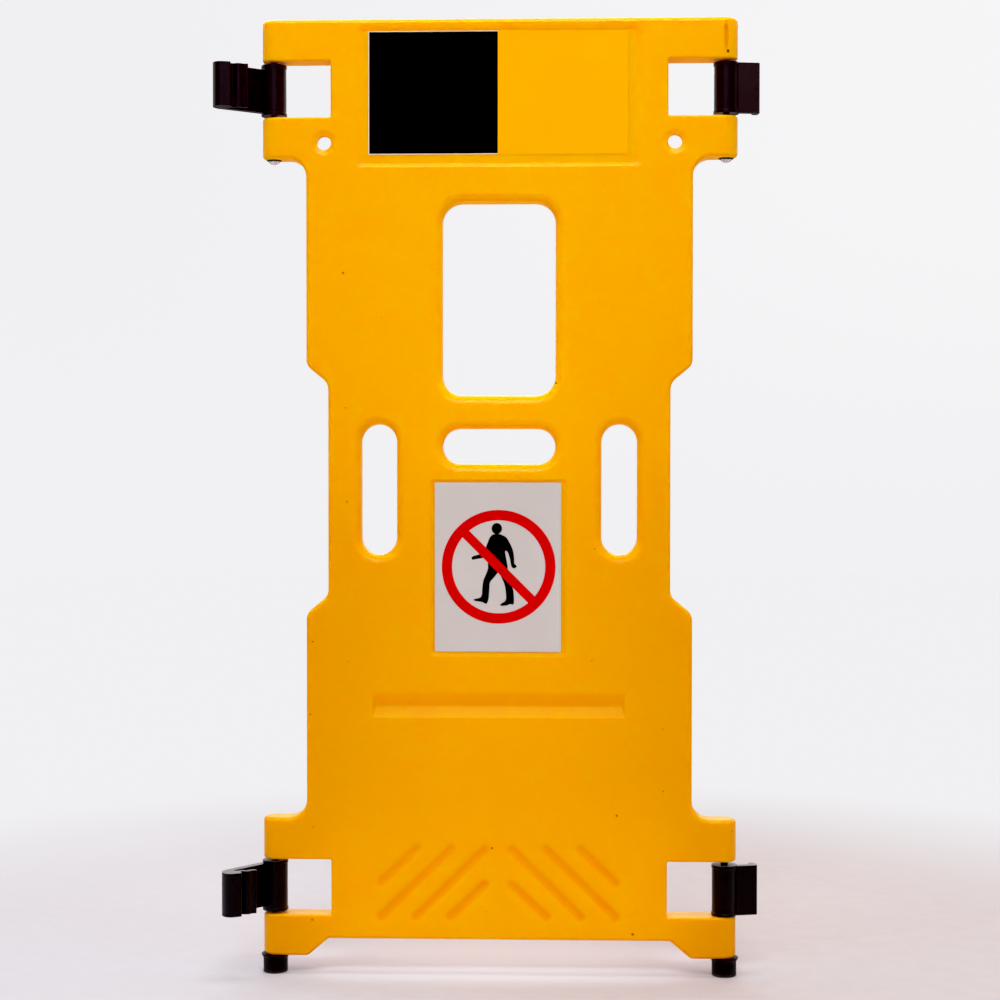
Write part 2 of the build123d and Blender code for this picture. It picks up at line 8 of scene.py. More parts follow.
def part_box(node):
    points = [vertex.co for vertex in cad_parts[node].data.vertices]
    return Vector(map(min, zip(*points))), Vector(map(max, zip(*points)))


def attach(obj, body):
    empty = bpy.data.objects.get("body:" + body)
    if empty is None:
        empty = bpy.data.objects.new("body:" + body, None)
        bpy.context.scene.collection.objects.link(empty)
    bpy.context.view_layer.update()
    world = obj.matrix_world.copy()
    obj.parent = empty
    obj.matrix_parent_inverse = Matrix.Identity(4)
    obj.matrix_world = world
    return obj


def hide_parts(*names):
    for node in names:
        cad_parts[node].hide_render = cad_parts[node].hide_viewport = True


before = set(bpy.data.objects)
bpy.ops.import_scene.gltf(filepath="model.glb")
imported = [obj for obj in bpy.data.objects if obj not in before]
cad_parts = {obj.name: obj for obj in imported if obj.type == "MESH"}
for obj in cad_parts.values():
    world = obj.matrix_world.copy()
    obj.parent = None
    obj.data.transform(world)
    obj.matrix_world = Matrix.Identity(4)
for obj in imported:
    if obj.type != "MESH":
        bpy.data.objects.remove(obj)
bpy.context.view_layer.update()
scene = bpy.context.scene
MM = 0.001
TOP = 1006.0  # height of the panel's top edge in millimetres


# ---------------------------------------------------------------- node helpers
class Tree:
    """A short way to write shader nodes."""

    def __init__(self, name):
        self.mat = bpy.data.materials.new(name)
        self.mat.use_nodes = True
        self.nt = self.mat.node_tree
        self.nt.nodes.clear()
        self.out = self.nt.nodes.new("ShaderNodeOutputMaterial")
        self.bsdf = self.nt.nodes.new("ShaderNodeBsdfPrincipled")
        self.nt.links.new(self.bsdf.outputs[0], self.out.inputs[0])
        self.coord = self.nt.nodes.new("ShaderNodeTexCoord").outputs["Object"]

    def put(self, socket, value):
        if isinstance(value, bpy.types.NodeSocket):
            self.nt.links.new(value, socket)
        else:
            socket.default_value = value

    def shader(self, **values):
        for key, value in values.items():
            self.put(self.bsdf.inputs[key.replace("_", " ")], value)

    def noise(self, scale, detail=3.0, rough=0.5, stretch=None, distort=0.0, seed=(0, 0, 0)):
        mapping = self.nt.nodes.new("ShaderNodeMapping")
        mapping.inputs["Location"].default_value = seed
        mapping.inputs["Scale"].default_value = stretch or (1, 1, 1)
        self.put(mapping.inputs["Vector"], self.coord)
        node = self.nt.nodes.new("ShaderNodeTexNoise")
        self.put(node.inputs["Vector"], mapping.outputs[0])
        node.inputs["Scale"].default_value = scale
        node.inputs["Detail"].default_value = detail
        node.inputs["Roughness"].default_value = rough
        node.inputs["Distortion"].default_value = distort
        return node.outputs["Fac"]

    def math(self, op, a, b=0.0, clamp=False):
        node = self.nt.nodes.new("ShaderNodeMath")
        node.operation = op
        node.use_clamp = clamp
        self.put(node.inputs[0], a)
        self.put(node.inputs[1], b)
        return node.outputs[0]

    def span(self, value, lo, hi, to_lo=0.0, to_hi=1.0, smooth=True):
        node = self.nt.nodes.new("ShaderNodeMapRange")
        node.interpolation_type = "SMOOTHSTEP" if smooth else "LINEAR"
        self.put(node.inputs["Value"], value)
        for name, v in (("From Min", lo), ("From Max", hi), ("To Min", to_lo), ("To Max", to_hi)):
            node.inputs[name].default_value = v
        return node.outputs["Result"]

    def mix(self, fac, a, b, blend="MIX"):
        node = self.nt.nodes.new("ShaderNodeMix")
        node.data_type = "RGBA"
        node.blend_type = blend
        self.put(node.inputs[0], fac)
        self.put(node.inputs[6], a)
        self.put(node.inputs[7], b)
        return node.outputs[2]

    def split(self):
        node = self.nt.nodes.new("ShaderNodeSeparateXYZ")
        self.put(node.inputs[0], self.coord)
        return node.outputs

    def upward(self, lo, hi):
        """How far a face looks up, from 0 at lo to 1 at hi of its normal's height."""
        node = self.nt.nodes.new("ShaderNodeSeparateXYZ")
        self.put(node.inputs[0], self.nt.nodes.new("ShaderNodeNewGeometry").outputs["Normal"])
        return self.span(node.outputs[2], lo, hi)

    def within(self, half_x, low, high):
        """1 on the front between two heights and this far to both sides of the middle, in metres."""
        xyz = self.split()
        inside = self.math("LESS_THAN", self.math("ABSOLUTE", xyz[0]), half_x)
        inside = self.math("MULTIPLY", inside, self.math("GREATER_THAN", xyz[2], low))
        inside = self.math("MULTIPLY", inside, self.math("LESS_THAN", xyz[2], high))
        return self.math("MULTIPLY", inside, self.math("LESS_THAN", xyz[1], -0.004))

    def front_plane(self):
        """The place on the front face, as a flat pair (x, z)."""
        xyz = self.split()
        node = self.nt.nodes.new("ShaderNodeCombineXYZ")
        self.put(node.inputs[0], xyz[0])
        self.put(node.inputs[1], xyz[2])
        return node.outputs[0]

    def specks(self, scale, radius, share, depth, seed):
        """Round specks, radius in metres, in this share of the cells of a flat random grid."""
        mapping = self.nt.nodes.new("ShaderNodeMapping")
        mapping.inputs["Location"].default_value = seed
        self.put(mapping.inputs["Vector"], self.front_plane())
        node = self.nt.nodes.new("ShaderNodeTexVoronoi")
        node.voronoi_dimensions = "2D"
        self.put(node.inputs["Vector"], mapping.outputs[0])
        node.inputs["Scale"].default_value = scale
        parts = self.nt.nodes.new("ShaderNodeSeparateColor")
        self.put(parts.inputs[0], node.outputs["Color"])
        chosen = self.math("LESS_THAN", parts.outputs[0], share)
        wide = self.span(parts.outputs[1], 0.0, 1.0, 0.45, 1.0, smooth=False)
        reach = self.math("DIVIDE", node.outputs["Distance"], wide)
        spot = self.span(reach, 0.45 * radius * scale, 1.15 * radius * scale, depth, 0.0)
        return self.math("MULTIPLY", chosen, spot)

    def mark(self, x, depth, half_x, half_d, strength):
        """A soft oval mark on the front at x and depth below the top edge, in millimetres."""
        xyz = self.split()
        u = self.math("DIVIDE", self.math("SUBTRACT", xyz[0], x * MM), half_x * MM)
        v = self.math("DIVIDE", self.math("SUBTRACT", xyz[2], (TOP - depth) * MM), half_d * MM)
        away = self.math("ADD", self.math("MULTIPLY", u, u), self.math("MULTIPLY", v, v))
        spot = self.span(away, 0.15, 1.0, strength, 0.0)
        return self.math("MULTIPLY", spot, self.math("LESS_THAN", xyz[1], 0.0))

    def bump(self, height, strength, distance, normal=None):
        node = self.nt.nodes.new("ShaderNodeBump")
        node.inputs["Strength"].default_value = strength
        node.inputs["Distance"].default_value = distance
        self.put(node.inputs["Height"], height)
        if normal is not None:
            self.put(node.inputs["Normal"], normal)
        return node.outputs[0]


# ---------------------------------------------------------------- materials
def yellow_shell():
    t = Tree("yellow_shell")
    broad = t.noise(3.2, 2.0, 0.5)
    cloud = t.noise(16.0, 3.0, 0.55, seed=(3, 1, 2))
    flow = t.noise(34.0, 2.0, 0.5, stretch=(1.0, 1.0, 0.16), seed=(7, 0, 4))
    fine = t.noise(320.0, 3.0, 0.6, seed=(2, 5, 1))
    base = t.mix(t.span(broad, 0.3, 0.7), (0.942, 0.390, 0.0006, 1), (0.957, 0.402, 0.0007, 1))
    base = t.mix(t.span(cloud, 0.32, 0.7, 0.0, 0.30), base, (0.930, 0.379, 0.0005, 1))
    base = t.mix(t.span(flow, 0.45, 0.75, 0.0, 0.20), base, (0.966, 0.413, 0.0009, 1))
    # dark specks moulded into the plastic
    base = t.mix(t.specks(27.0, 0.00125, 0.09, 0.72, (0.31, 0.72, 0)), base, (0.10, 0.028, 0.001, 1))
    base = t.mix(t.specks(64.0, 0.00060, 0.08, 0.40, (3.13, 1.27, 0)), base, (0.30, 0.085, 0.002, 1))
    base = t.mix(t.specks(46.0, 0.00085, 0.09, 0.30, (5.70, 2.41, 0)), base, (1.0, 0.50, 0.012, 1))
    # a rubbed streak and a nick on the upper right knuckle, and a few larger specks
    base = t.mix(t.mark(236.8, 19.5, 3.0, 19.0, 0.62), base, (0.62, 0.180, 0.0004, 1))
    base = t.mix(t.mark(236.3, 10.8, 2.6, 4.6, 0.55), base, (0.52, 0.150, 0.0004, 1))
    base = t.mix(t.mark(238.6, 36.0, 2.0, 2.4, 0.97), base, (0.050, 0.012, 0.001, 1))
    for x, depth, wide, high in (
        (-196.9, 947.6, 2.4, 1.9),
        (-163.7, 265.5, 1.6, 1.6),
        (60.0, 381.1, 1.7, 1.4),
        (141.1, 960.3, 2.0, 1.8),
        (-6.9, 870.4, 1.7, 1.6),
        (124.2, 835.2, 1.6, 1.6),
    ):
        base = t.mix(t.mark(x, depth, wide, high, 0.85), base, (0.12, 0.026, 0.001, 1))
    # painted shade darkens the lower corners, and there is dust low down
    xyz = t.split()
    low = t.span(xyz[2], 0.28, 0.03)
    painted_corner_shade = t.math("MULTIPLY", low, t.span(t.math("ABSOLUTE", xyz[0]), 0.13, 0.25))
    painted_corner_shade = t.math("MULTIPLY", painted_corner_shade, t.span(cloud, 0.2, 0.8, 0.80, 1.0))
    base = t.mix(painted_corner_shade, base, (0.720, 0.295, 0.0004, 1))
    dust = t.math("MULTIPLY", low, t.span(t.noise(24.0, 5.0, 0.65, seed=(5, 5, 0)), 0.44, 0.74, 0.0, 0.10))
    base = t.mix(dust, base, (0.72, 0.29, 0.006, 1))
    # painted shade: the colour is darker towards the sides and below the middle, where the light falls off
    wide = t.math("MULTIPLY", t.span(xyz[2], 0.80, 0.52, 0.42, 1.0), t.span(xyz[2], 0.12, 0.24, 0.30, 1.0))
    side = t.math("MULTIPLY", t.span(t.math("ABSOLUTE", xyz[0]), 0.05, 0.21, smooth=False), wide)
    middle = t.math("MULTIPLY", t.span(xyz[2], 0.60, 0.42), t.span(xyz[2], 0.04, 0.20))
    painted_falloff_shade = t.math("ADD", t.math("MULTIPLY", side, 0.136), t.math("MULTIPLY", middle, 0.096))
    base = t.mix(painted_falloff_shade, base, (0.0, 0.0, 0.0, 1))
    # painted shade in the cross groove, on the side that looks down, and along the slanted grooves
    shade = t.math("MULTIPLY", t.within(0.1345, 0.272, 0.304), t.upward(-0.05, -0.25))
    base = t.mix(t.math("MULTIPLY", shade, 0.55), base, (0.86, 0.300, 0.0005, 1))
    slant_groove_shade = t.math("MULTIPLY", t.within(0.134, 0.054, 0.150), t.span(xyz[1], -0.01375, -0.01265))
    base = t.mix(t.math("MULTIPLY", slant_groove_shade, 0.80), base, (0.86, 0.280, 0.0005, 1))
    # the fine line where the two halves of the mould meet, round all edges and openings
    seam = t.span(t.math("ABSOLUTE", xyz[1]), 0.0009, 0.0003)
    base = t.mix(t.math("MULTIPLY", seam, 0.5), base, (0.74, 0.262, 0.0005, 1))
    # faint rubbed streaks
    rub = t.span(t.noise(46.0, 6.0, 0.7, stretch=(0.25, 1, 1.6), seed=(1, 9, 3)), 0.60, 0.78, 0.0, 0.16)
    base = t.mix(rub, base, (0.99, 0.398, 0.003, 1))
    rough = t.math("ADD", t.span(fine, 0.2, 0.8, 0.27, 0.35), t.span(cloud, 0.3, 0.7, -0.03, 0.04))
    rough = t.math("ADD", rough, t.math("MULTIPLY", rub, 0.25), clamp=True)
    n = t.bump(t.noise(7.0, 1.0, 0.4, seed=(4, 2, 8)), 0.20, 0.0012)
    n = t.bump(t.noise(900.0, 2.0, 0.5), 0.05, 0.00006, n)
    n = t.bump(flow, 0.05, 0.0002, n)
    n = t.bump(seam, 0.6, 0.0004, n)
    t.shader(Base_Color=base, Roughness=rough, Normal=n)
    t.bsdf.inputs["Specular IOR Level"].default_value = 0.10
    # the plastic lets some light through, red the furthest
    t.bsdf.inputs["Subsurface Weight"].default_value = 0.85
    t.bsdf.inputs["Subsurface Radius"].default_value = (1.0, 0.40, 0.02)
    t.bsdf.inputs["Subsurface Scale"].default_value = 0.013
    return t.mat


def black_nylon():
    t = Tree("black_nylon")
    cloud = t.noise(60.0, 4.0, 0.6)
    fine = t.noise(700.0, 3.0, 0.6, seed=(1, 2, 3))
    base = t.mix(t.span(cloud, 0.35, 0.7), (0.0076, 0.0016, 0.0040, 1), (0.0112, 0.0036, 0.0062, 1))
    scuff = t.span(t.noise(150.0, 6.0, 0.72, stretch=(1, 1, 0.35), seed=(4, 1, 0)), 0.63, 0.80, 0.0, 0.45)
    base = t.mix(scuff, base, (0.026, 0.014, 0.016, 1))
    # the lower clips are darker than the upper ones
    deep = t.span(t.split()[2], 0.55, 0.35, 0.0, 0.94)
    base = t.mix(deep, base, (0.0006, 0.0002, 0.0004, 1))
    # the upper right tongue is painted lighter, a painted sheen for the light its flat face catches
    xyz = t.split()
    tongue_sheen = t.math("MULTIPLY", t.span(xyz[0], 0.2490, 0.2510), t.math("GREATER_THAN", xyz[2], 0.5))
    base = t.mix(t.math("MULTIPLY", tongue_sheen, t.span(cloud, 0.3, 0.7, 0.80, 1.0)), base, (0.0170, 0.0075, 0.0088, 1))
    # dust lies on the faces that look up, with a painted reflection of the bright surroundings on them
    dust = t.math("MULTIPLY", t.upward(0.80, 0.99), t.span(t.noise(130.0, 4.0, 0.65, seed=(2, 6, 5)), 0.25, 0.75, 0.35, 0.85))
    base = t.mix(dust, base, (0.130, 0.112, 0.120, 1))
    rough = t.math("ADD", t.span(fine, 0.2, 0.8, 0.28, 0.40), t.math("MULTIPLY", scuff, 0.3))
    n = t.bump(fine, 0.16, 0.00010)
    n = t.bump(t.noise(40.0, 2.0, 0.5, seed=(9, 9, 9)), 0.15, 0.0004, n)
    t.shader(Base_Color=base, Roughness=rough, Normal=n)
    t.bsdf.inputs["Specular IOR Level"].default_value = 0.22
    return t.mat


def foot_rubber():
    t = Tree("foot_rubber")
    cloud = t.noise(90.0, 4.0, 0.6)
    fine = t.noise(1100.0, 3.0, 0.65)
    base = t.mix(t.span(cloud, 0.3, 0.7), (0.0016, 0.0004, 0.0004, 1), (0.0036, 0.0012, 0.0012, 1))
    z = t.split()[2]
    dust = t.math(
        "MULTIPLY",
        t.span(z, 0.005, 0.0, 0.0, 1.0),
        t.span(t.noise(260.0, 5.0, 0.7, seed=(2, 2, 2)), 0.35, 0.7, 0.05, 0.5),
    )
    base = t.mix(dust, base, (0.09, 0.075, 0.072, 1))
    n = t.bump(fine, 0.30, 0.00014)
    t.shader(Base_Color=base, Roughness=t.span(fine, 0.2, 0.8, 0.50, 0.70), Normal=n)
    t.bsdf.inputs["Specular IOR Level"].default_value = 0.20
    return t.mat


def pin_steel():
    t = Tree("pin_steel")
    fine = t.noise(900.0, 4.0, 0.6)
    cloud = t.noise(220.0, 3.0, 0.6, seed=(3, 3, 0))
    base = t.mix(t.span(cloud, 0.3, 0.7), (0.66, 0.645, 0.63, 1), (0.80, 0.79, 0.78, 1))
    spot = t.span(t.noise(420.0, 5.0, 0.7, seed=(8, 1, 1)), 0.64, 0.78, 0.0, 0.6)
    base = t.mix(spot, base, (0.24, 0.19, 0.15, 1))
    # painted shade darkens the shanks, standing in for the shadow in the gaps between the parts; the domed heads
    # stay clean and bright
    z = t.split()[2]
    clean = t.math("MULTIPLY", t.span(z, 0.8500, 0.8512), t.span(z, 0.8640, 0.8626))
    painted_gap_shade = t.math("SUBTRACT", 1.0, clean)
    base = t.mix(t.math("MULTIPLY", painted_gap_shade, t.span(cloud, 0.2, 0.5, 0.86, 0.97)), base, (0.020, 0.014, 0.011, 1))
    rough = t.math("ADD", t.span(fine, 0.2, 0.8, 0.20, 0.32), t.math("MULTIPLY", spot, 0.3))
    t.shader(Base_Color=base, Roughness=rough, Normal=t.bump(fine, 0.12, 0.00006))
    t.bsdf.inputs["Metallic"].default_value = 1.0
    return t.mat


def sign_white():
    t = Tree("sign_white")
    cloud = t.noise(14.0, 3.0, 0.55)
    fine = t.noise(500.0, 3.0, 0.6, seed=(1, 0, 2))
    base = t.mix(t.span(cloud, 0.3, 0.7), (0.496, 0.440, 0.420, 1), (0.520, 0.463, 0.442, 1))
    smudge = t.span(t.noise(70.0, 5.0, 0.7, seed=(5, 2, 2)), 0.62, 0.80, 0.0, 0.16)
    base = t.mix(smudge, base, (0.46, 0.40, 0.37, 1))
    base = t.mix(t.specks(70.0, 0.00060, 0.10, 0.35, (1.7, 0.4, 0)), base, (0.28, 0.22, 0.20, 1))
    n = t.bump(t.noise(120.0, 2.0, 0.5), 0.06, 0.0003)
    t.shader(Base_Color=base, Roughness=t.span(fine, 0.2, 0.8, 0.32, 0.40), Normal=n)
    t.bsdf.inputs["Specular IOR Level"].default_value = 0.25
    return t.mat


def ink(name, dark, light, rough=(0.34, 0.44), level=0.22):
    t = Tree(name)
    cloud = t.noise(45.0, 4.0, 0.6)
    fine = t.noise(650.0, 3.0, 0.6, seed=(6, 1, 2))
    base = t.mix(t.span(cloud, 0.3, 0.7), dark, light)
    t.shader(
        Base_Color=base,
        Roughness=t.span(fine, 0.2, 0.8, *rough),
        Normal=t.bump(fine, 0.05, 0.00006),
    )
    t.bsdf.inputs["Specular IOR Level"].default_value = level
    return t.mat


def label_film():
    t = Tree("label_film")
    cloud = t.noise(22.0, 3.0, 0.55)
    fine = t.noise(420.0, 3.0, 0.6, seed=(6, 1, 2))
    base = t.mix(t.span(cloud, 0.3, 0.7), (0.972, 0.344, 0.0006, 1), (0.982, 0.354, 0.0008, 1))
    smear = t.span(t.noise(60.0, 5.0, 0.7, stretch=(0.4, 1, 1), seed=(2, 7, 1)), 0.62, 0.8, 0.0, 0.2)
    base = t.mix(smear, base, (0.95, 0.325, 0.001, 1))
    n = t.bump(t.noise(55.0, 2.0, 0.5, seed=(3, 3, 3)), 0.05, 0.0003)
    t.shader(Base_Color=base, Roughness=t.span(fine, 0.2, 0.8, 0.32, 0.40), Normal=n)
    t.bsdf.inputs["Specular IOR Level"].default_value = 0.09
    return t.mat


MAT = {
    "yellow_plastic": yellow_shell(),
    "black_plastic": black_nylon(),
    "foot_rubber": foot_rubber(),
    "pin_steel": pin_steel(),
    "sign_white": sign_white(),
    "label_film": label_film(),
    "ink_red": ink("ink_red", (0.490, 0.0005, 0.0005, 1), (0.545, 0.0008, 0.0008, 1), (0.36, 0.46), 0.12),
    "ink_black": ink("ink_black", (0.0012, 0.0010, 0.0012, 1), (0.0026, 0.0020, 0.0022, 1)),
    "label_black": ink("label_black", (0.0003, 0.0003, 0.0003, 1), (0.0008, 0.0007, 0.0008, 1), (0.34, 0.46), 0.10),
    "label_pale": ink("label_pale", (0.62, 0.52, 0.40, 1), (0.70, 0.60, 0.48, 1)),
}


# ---------------------------------------------------------------- carried-over pieces
def link(ob):
    scene.collection.objects.link(ob)
    return ob


def biggest_island(bm):
    """Deletes every separate shell but the one with the largest box, so the closed hollow inside isn't kept."""
    left, islands = set(bm.verts), []
    while left:
        stack, found = [left.pop()], []
        while stack:
            v = stack.pop()
            found.append(v)
            for e in v.link_edges:
                o = e.other_vert(v)
                if o in left:
                    left.discard(o)
                    stack.append(o)
        islands.append(found)

    def reach(vs):
        lo = [min(v.co[i] for v in vs) for i in range(3)]
        hi = [max(v.co[i] for v in vs) for i in range(3)]
        return math.dist(lo, hi)

    islands.sort(key=reach)
    drop = [v for vs in islands[:-1] for v in vs]
    if drop:
        bmesh.ops.delete(bm, geom=drop, context="VERTS")


def dress(node, body, mat, angle=34.0, round_mm=None, segments=3, outer_only=False):
    """A piece with the CAD node's shape, welded and smoothly shaded, with its sharp edges softened if asked."""
    bm = bmesh.new()
    bm.from_mesh(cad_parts[node].data)
    bmesh.ops.remove_doubles(bm, verts=bm.verts, dist=2e-6)
    bmesh.ops.dissolve_degenerate(bm, dist=1e-7, edges=bm.edges)
    if outer_only:
        biggest_island(bm)
    if round_mm:
        bmesh.ops.dissolve_limit(
            bm, angle_limit=math.radians(0.6), verts=bm.verts, edges=bm.edges
        )
    me = bpy.data.meshes.new(node + "_skin")
    bm.to_mesh(me)
    bm.free()
    # the shading is worked out afresh, so normals that came with the mesh aren't kept
    for name in [a.name for a in me.attributes if a.name == "custom_normal"]:
        me.attributes.remove(me.attributes[name])
    me.polygons.foreach_set("use_smooth", [True] * len(me.polygons))
    me.set_sharp_from_angle(angle=math.radians(angle))
    me.materials.append(mat)
    ob = link(bpy.data.objects.new(node + "_skin", me))
    if round_mm:
        mod = ob.modifiers.new("edges", "BEVEL")
        mod.width = round_mm * MM
        mod.segments = segments
        mod.limit_method = "ANGLE"
        mod.angle_limit = math.radians(angle)
        mod.use_clamp_overlap = True
    mod = ob.modifiers.new("normals", "WEIGHTED_NORMAL")
    mod.mode = "FACE_AREA"
    mod.keep_sharp = True
    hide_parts(node)
    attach(ob, body)
    return ob


dress("panel_shell", "panel", MAT["yellow_plastic"], angle=13.0, outer_only=True)
dress("name_label", "panel", MAT["label_film"])
dress("sign_plate", "panel", MAT["sign_white"])
for side in ("left", "right"):
    dress(f"upper_{side}_pin", "panel", MAT["pin_steel"])
    dress(f"lower_{side}_pin", "panel", MAT["pin_steel"])
    dress(f"upper_{side}_washer", "panel", MAT["black_plastic"], round_mm=0.2)
    dress(f"{side}_foot", "panel", MAT["foot_rubber"], round_mm=0.4)
for level in ("upper", "lower"):
    dress(f"{level}_left_clip", f"{level}_left_hook", MAT["black_plastic"], round_mm=0.5)
    dress(f"{level}_right_clip", f"{level}_right_catch", MAT["black_plastic"], round_mm=0.5)


# ---------------------------------------------------------------- printed layers
def flat_solid(name, loops, front_y, thick, mat):
    """A thin printed layer. loops are outlines of (x, depth below the top edge) in millimetres; a second outline in a pair is its hole."""
    bm = bmesh.new()
    for loop in loops:
        outer, hole = loop
        front = [bm.verts.new((x * MM, front_y, (TOP - d) * MM)) for x, d in outer]
        back = [bm.verts.new((x * MM, front_y + thick, (TOP - d) * MM)) for x, d in outer]
        n = len(outer)
        if hole is None:
            bm.faces.new(front)
            bm.faces.new(list(reversed(back)))
        else:
            hf = [bm.verts.new((x * MM, front_y, (TOP - d) * MM)) for x, d in hole]
            hb = [bm.verts.new((x * MM, front_y + thick, (TOP - d) * MM)) for x, d in hole]
            for i in range(n):
                j = (i + 1) % n
                bm.faces.new((front[i], front[j], hf[j], hf[i]))
                bm.faces.new((back[j], back[i], hb[i], hb[j]))
                bm.faces.new((hf[i], hf[j], hb[j], hb[i]))
        for i in range(n):
            j = (i + 1) % n
            bm.faces.new((front[j], front[i], back[i], back[j]))
    bmesh.ops.recalc_face_normals(bm, faces=bm.faces)
    bmesh.ops.triangulate(bm, faces=[f for f in bm.faces if len(f.verts) > 4])
    me = bpy.data.meshes.new(name)
    bm.to_mesh(me)
    bm.free()
    me.materials.append(mat)
    ob = link(bpy.data.objects.new(name, me))
    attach(ob, "panel")
    return ob


def smooth_loop(points, steps=7):
    """A closed rounded line through the points (Catmull-Rom)."""
    out, n = [], len(points)
    for i in range(n):
        p0, p1, p2, p3 = (points[(i + k - 1) % n] for k in range(4))
        for s in range(steps):
            t = s / steps
            out.append(
                tuple(
                    0.5
                    * (
                        2 * p1[k]
                        + (p2[k] - p0[k]) * t
                        + (2 * p0[k] - 5 * p1[k] + 4 * p2[k] - p3[k]) * t * t
                        + (3 * p1[k] - p0[k] - 3 * p2[k] + p3[k]) * t**3
                    )
                    for k in (0, 1)
                )
            )
    return out


sign_lo, sign_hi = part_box("sign_plate")
sign_front = sign_lo.y
ring_x, ring_d = -0.1, 573.9
ring_out, ring_in, slash_half = 59.8, 48.9, 4.95


def circle(r, count, start=0.0):
    return [
        (
            ring_x + r * math.cos(start + 2 * math.pi * i / count),
            ring_d + r * math.sin(start + 2 * math.pi * i / count),
        )
        for i in range(count)
    ]


def slash():
    """The bar from upper left to lower right, its ends on the ring's inner edge."""
    half = math.asin(slash_half / ring_in)
    turn = math.radians(45)
    pts = []
    for centre in (turn, turn + math.pi):
        for k in range(9):
            a = centre - half + 2 * half * k / 8
            pts.append((ring_x + ring_in * math.cos(a), ring_d + ring_in * math.sin(a)))
    return pts


# A plain walking figure with a round head, in millimetres from the ring's centre, up positive.
body_pts = [
    (-4.6, 34.4), (-8.8, 31.6), (-11.2, 26.4), (-13.4, 20.6), (-15.6, 15.8), (-19.4, 13.4),
    (-26.4, 11.4), (-28.6, 9.6), (-27.2, 7.4), (-23.6, 8.0), (-17.8, 9.0), (-13.0, 10.0),
    (-11.0, 9.4), (-11.4, 3.0), (-11.2, -1.6), (-13.4, -8.0), (-16.2, -15.0), (-17.2, -23.0),
    (-18.6, -31.6), (-25.6, -34.0), (-25.2, -35.8), (-18.0, -37.0), (-13.6, -38.9), (-11.8, -37.6),
    (-10.4, -33.2), (-9.7, -24.0), (-8.9, -16.4), (-4.6, -11.0), (-0.4, -6.4), (2.6, -10.4),
    (6.2, -18.8), (7.6, -27.6), (7.4, -35.0), (2.2, -39.0), (2.4, -41.0), (8.6, -40.6),
    (12.0, -39.2), (15.6, -39.4), (16.2, -33.6), (15.2, -23.6), (11.8, -12.4), (9.8, -3.4),
    (9.4, 1.2), (8.2, 8.0), (6.9, 16.2), (9.2, 15.8), (11.2, 10.6), (12.6, 4.4),
    (13.6, 0.2), (16.0, -1.6), (18.8, -0.2), (18.2, 2.0), (16.6, 3.8), (16.2, 10.6),
    (14.8, 18.2), (11.2, 26.0), (8.0, 31.0), (3.2, 33.6), (0.8, 34.4),
]


def from_centre(points):
    return [(ring_x + x, ring_d - y) for x, y in points]


def oval(cx, cy, rx, ry, count=40):
    return [
        (cx + rx * math.cos(2 * math.pi * i / count), cy + ry * math.sin(2 * math.pi * i / count))
        for i in range(count)
    ]


def solid_loops(points):
    return [(points, None)]


figure = flat_solid(
    "sign_figure",
    [(from_centre(smooth_loop(body_pts)), None), (from_centre(oval(-1.9, 40.2, 5.5, 5.9)), None)],
    sign_front - 0.00006,
    0.00012,
    MAT["ink_black"],
)
flat_solid(
    "sign_ring",
    [(circle(ring_out, 160), circle(ring_in, 160))],
    sign_front - 0.00010,
    0.00016,
    MAT["ink_red"],
)
flat_solid("sign_slash", solid_loops(slash()), sign_front - 0.00012, 0.00018, MAT["ink_red"])

label_lo, label_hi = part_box("name_label")
label_front = label_lo.y
left, top, bottom = label_lo.x / MM, TOP - label_hi.z / MM, TOP - label_lo.z / MM


def rect(x0, d0, x1, d1):
    return [(x0, d0), (x1, d0), (x1, d1), (x0, d1)]


flat_solid(
    "label_keyline",
    solid_loops(rect(left + 0.15, top + 0.15, -1.2, bottom - 0.15)),
    label_front - 0.00004,
    0.00010,
    MAT["label_pale"],
)
flat_solid(
    "label_square",
    solid_loops(rect(left + 1.0, top + 1.0, -1.2 + 0.02, bottom - 1.0)),
    label_front - 0.00008,
    0.00014,
    MAT["label_black"],
)


# ---------------------------------------------------------------- stage
PALE = (0.990, 0.980, 1.010, 1)


def ring_mesh(name, radii, heights, start, end, steps, cap=False):
    """Rings of a floor or a dome round the middle, from one angle to another in degrees."""
    bm = bmesh.new()
    whole = abs(end - start) > 359.9
    count = steps if whole else steps + 1
    rows = []
    for r, z in zip(radii, heights):
        rows.append(
            [
                bm.verts.new(
                    (
                        r * math.cos(math.radians(start + (end - start) * k / steps)),
                        r * math.sin(math.radians(start + (end - start) * k / steps)),
                        z,
                    )
                )
                for k in range(count)
            ]
        )
    for i in range(len(rows) - 1):
        for k in range(steps):
            m = (k + 1) % count
            bm.faces.new((rows[i][k], rows[i][m], rows[i + 1][m], rows[i + 1][k]))
    if cap:
        middle = bm.verts.new((0, 0, heights[0]))
        for k in range(steps):
            bm.faces.new((middle, rows[0][k], rows[0][(k + 1) % count]))
    bmesh.ops.recalc_face_normals(bm, faces=bm.faces)
    me = bpy.data.meshes.new(name)
    bm.to_mesh(me)
    bm.free()
    me.polygons.foreach_set("use_smooth", [True] * len(me.polygons))
    ob = link(bpy.data.objects.new(name, me))
    return ob


